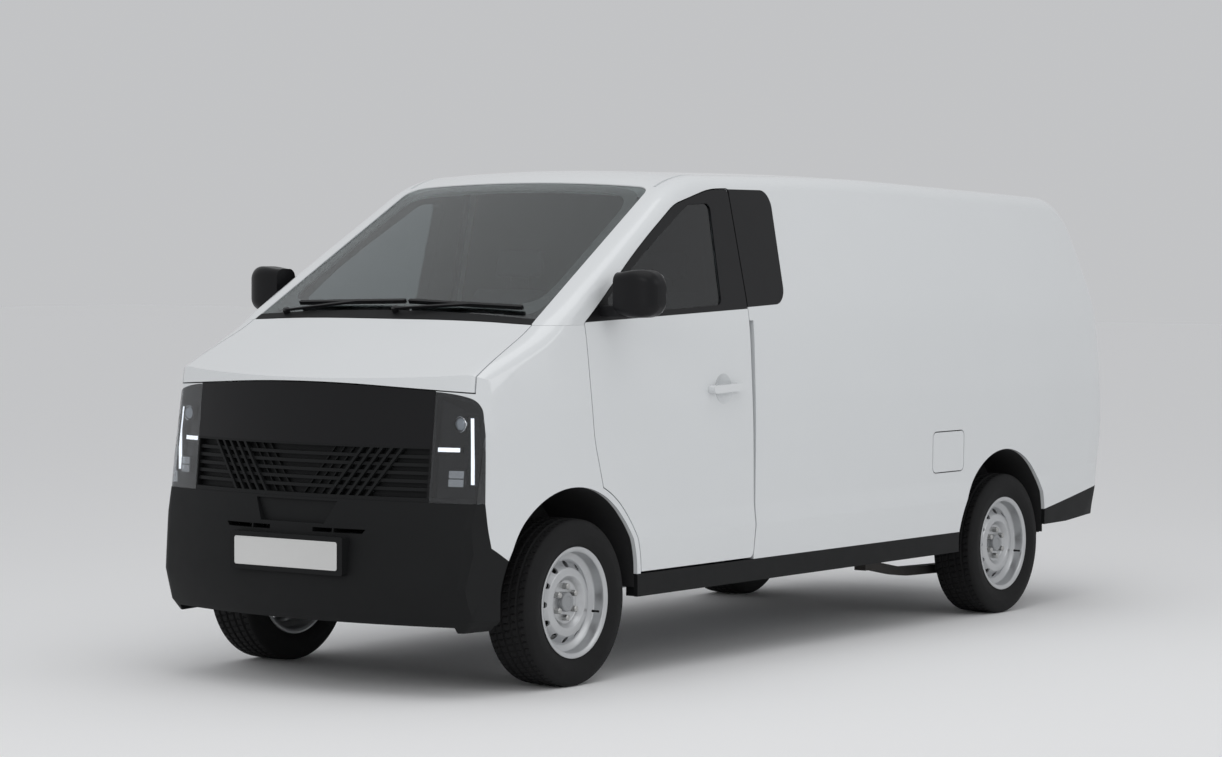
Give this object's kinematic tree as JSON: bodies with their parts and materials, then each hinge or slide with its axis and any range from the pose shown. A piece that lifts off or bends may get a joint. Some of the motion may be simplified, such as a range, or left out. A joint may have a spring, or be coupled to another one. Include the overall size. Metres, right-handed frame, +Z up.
{
  "type": "panel van",
  "caption": "Short-nosed panel van with a blank load bay, hinged front doors, bonnet, tailgate and charge flap, steel wheels and a black lower body.",
  "frame": {"origin": "on the ground, under the middle of the bounding box", "axes": "+X towards the van's left side, +Y towards its tail (the nose points to -Y), +Z up"},
  "size_m": [2.104, 5.3112, 2.0552],
  "materials": {
    "paint": "gloss white paint",
    "black_plastic": "textured black",
    "gloss_black": "gloss black",
    "lamp": "dark lamp housing",
    "clear_cover": "clear lamp cover",
    "tail_lamp": "red lens",
    "glass": "tinted",
    "wheel_steel": "silver paint",
    "rubber": "black rubber",
    "tyre": "rubber",
    "chassis_steel": "black underbody coating",
    "axle_steel": "dark iron",
    "battery_case": "dark grey",
    "trim": "dark trim",
    "seat_cloth": "dark cloth",
    "floor_coat": "grey coat"
  },
  "bodies": {
    "body_shell": {"cowl": "black_plastic", "roof": "paint", "front_fenders": "paint", "cab_side_left": "paint", "cab_side_right": "paint", "quarter_panel_left": "paint", "quarter_panel_right": "paint", "sliding_door": "paint", "tail_lamps": "tail_lamp", "pillar_panels": "gloss_black", "windshield": "glass", "headlamps": "lamp", "front_panel": "gloss_black", "grille": "black_plastic", "front_bumper": "black_plastic", "rear_bumper": "black_plastic", "sills": "black_plastic", "floor": "floor_coat", "underframe": "chassis_steel", "battery_pack": "battery_case", "rear_axle": "axle_steel", "front_suspension": "chassis_steel", "seats": "seat_cloth", "dashboard": "trim", "steering_wheel": "trim", "bulkhead": "trim", "wipers": "black_plastic", "nose_carrier": "chassis_steel", "seals": "rubber", "lamp_covers": "clear_cover", "wheel_liners": "black_plastic"},
    "door_left": {"door_left": "paint", "door_frame_left": "gloss_black", "door_glass_left": "glass", "mirror_left": "black_plastic"},
    "door_right": {"door_right": "paint", "door_frame_right": "gloss_black", "door_glass_right": "glass", "mirror_right": "black_plastic"},
    "hood": {"hood": "paint"},
    "tailgate": {"tailgate": "paint", "rear_glass": "glass"},
    "charge_flap": {"charge_flap": "paint"},
    "knuckle_left": {"knuckle_left": "axle_steel"},
    "knuckle_right": {"knuckle_right": "axle_steel"},
    "wheel_front_left": {"rim_front_left": "wheel_steel", "tyre_front_left": "tyre"},
    "wheel_front_right": {"rim_front_right": "wheel_steel", "tyre_front_right": "tyre"},
    "wheel_rear_left": {"rim_rear_left": "wheel_steel", "tyre_rear_left": "tyre"},
    "wheel_rear_right": {"rim_rear_right": "wheel_steel", "tyre_rear_right": "tyre"}
  },
  "joints": [
    {"name": "door_left_hinge", "type": "hinge", "parent": "body_shell", "child": "door_left", "pos_m": [0.85, -1.815, 0.9], "axis": [0, 0, -1], "range_deg": [0, 65]},
    {"name": "door_right_hinge", "type": "hinge", "parent": "body_shell", "child": "door_right", "pos_m": [-0.85, -1.815, 0.9], "axis": [0, 0, 1], "range_deg": [0, 65]},
    {"name": "hood_hinge", "type": "hinge", "parent": "body_shell", "child": "hood", "pos_m": [0, -2.02, 1.44], "axis": [-1, 0, 0], "range_deg": [0, 50]},
    {"name": "tailgate_hinge", "type": "hinge", "parent": "body_shell", "child": "tailgate", "pos_m": [0, 2.294, 1.962], "axis": [1, 0, 0], "range_deg": [0, 80]},
    {"name": "charge_flap_hinge", "type": "hinge", "parent": "body_shell", "child": "charge_flap", "pos_m": [0.8415, 0.866, 0.792], "axis": [0, 0, -1], "range_deg": [0, 100]},
    {"name": "steer_left", "type": "hinge", "parent": "body_shell", "child": "knuckle_left", "pos_m": [0.655, -1.86, 0.33], "axis": [0, 0, 1], "range_deg": [-28, 28]},
    {"name": "steer_right", "type": "hinge", "parent": "body_shell", "child": "knuckle_right", "pos_m": [-0.655, -1.86, 0.33], "axis": [0, 0, 1], "range_deg": [-28, 28]},
    {"name": "spin_front_left", "type": "hinge", "parent": "knuckle_left", "child": "wheel_front_left", "pos_m": [0.716, -1.86, 0.33], "axis": [1, 0, 0], "continuous": true},
    {"name": "spin_front_right", "type": "hinge", "parent": "knuckle_right", "child": "wheel_front_right", "pos_m": [-0.716, -1.86, 0.33], "axis": [1, 0, 0], "continuous": true},
    {"name": "spin_rear_left", "type": "hinge", "parent": "body_shell", "child": "wheel_rear_left", "pos_m": [0.716, 1.582, 0.33], "axis": [1, 0, 0], "continuous": true},
    {"name": "spin_rear_right", "type": "hinge", "parent": "body_shell", "child": "wheel_rear_right", "pos_m": [-0.716, 1.582, 0.33], "axis": [1, 0, 0], "continuous": true}
  ],
  "couplings": [
    {"joint": "steer_right", "follows": "steer_left", "ratio": 1}
  ]
}
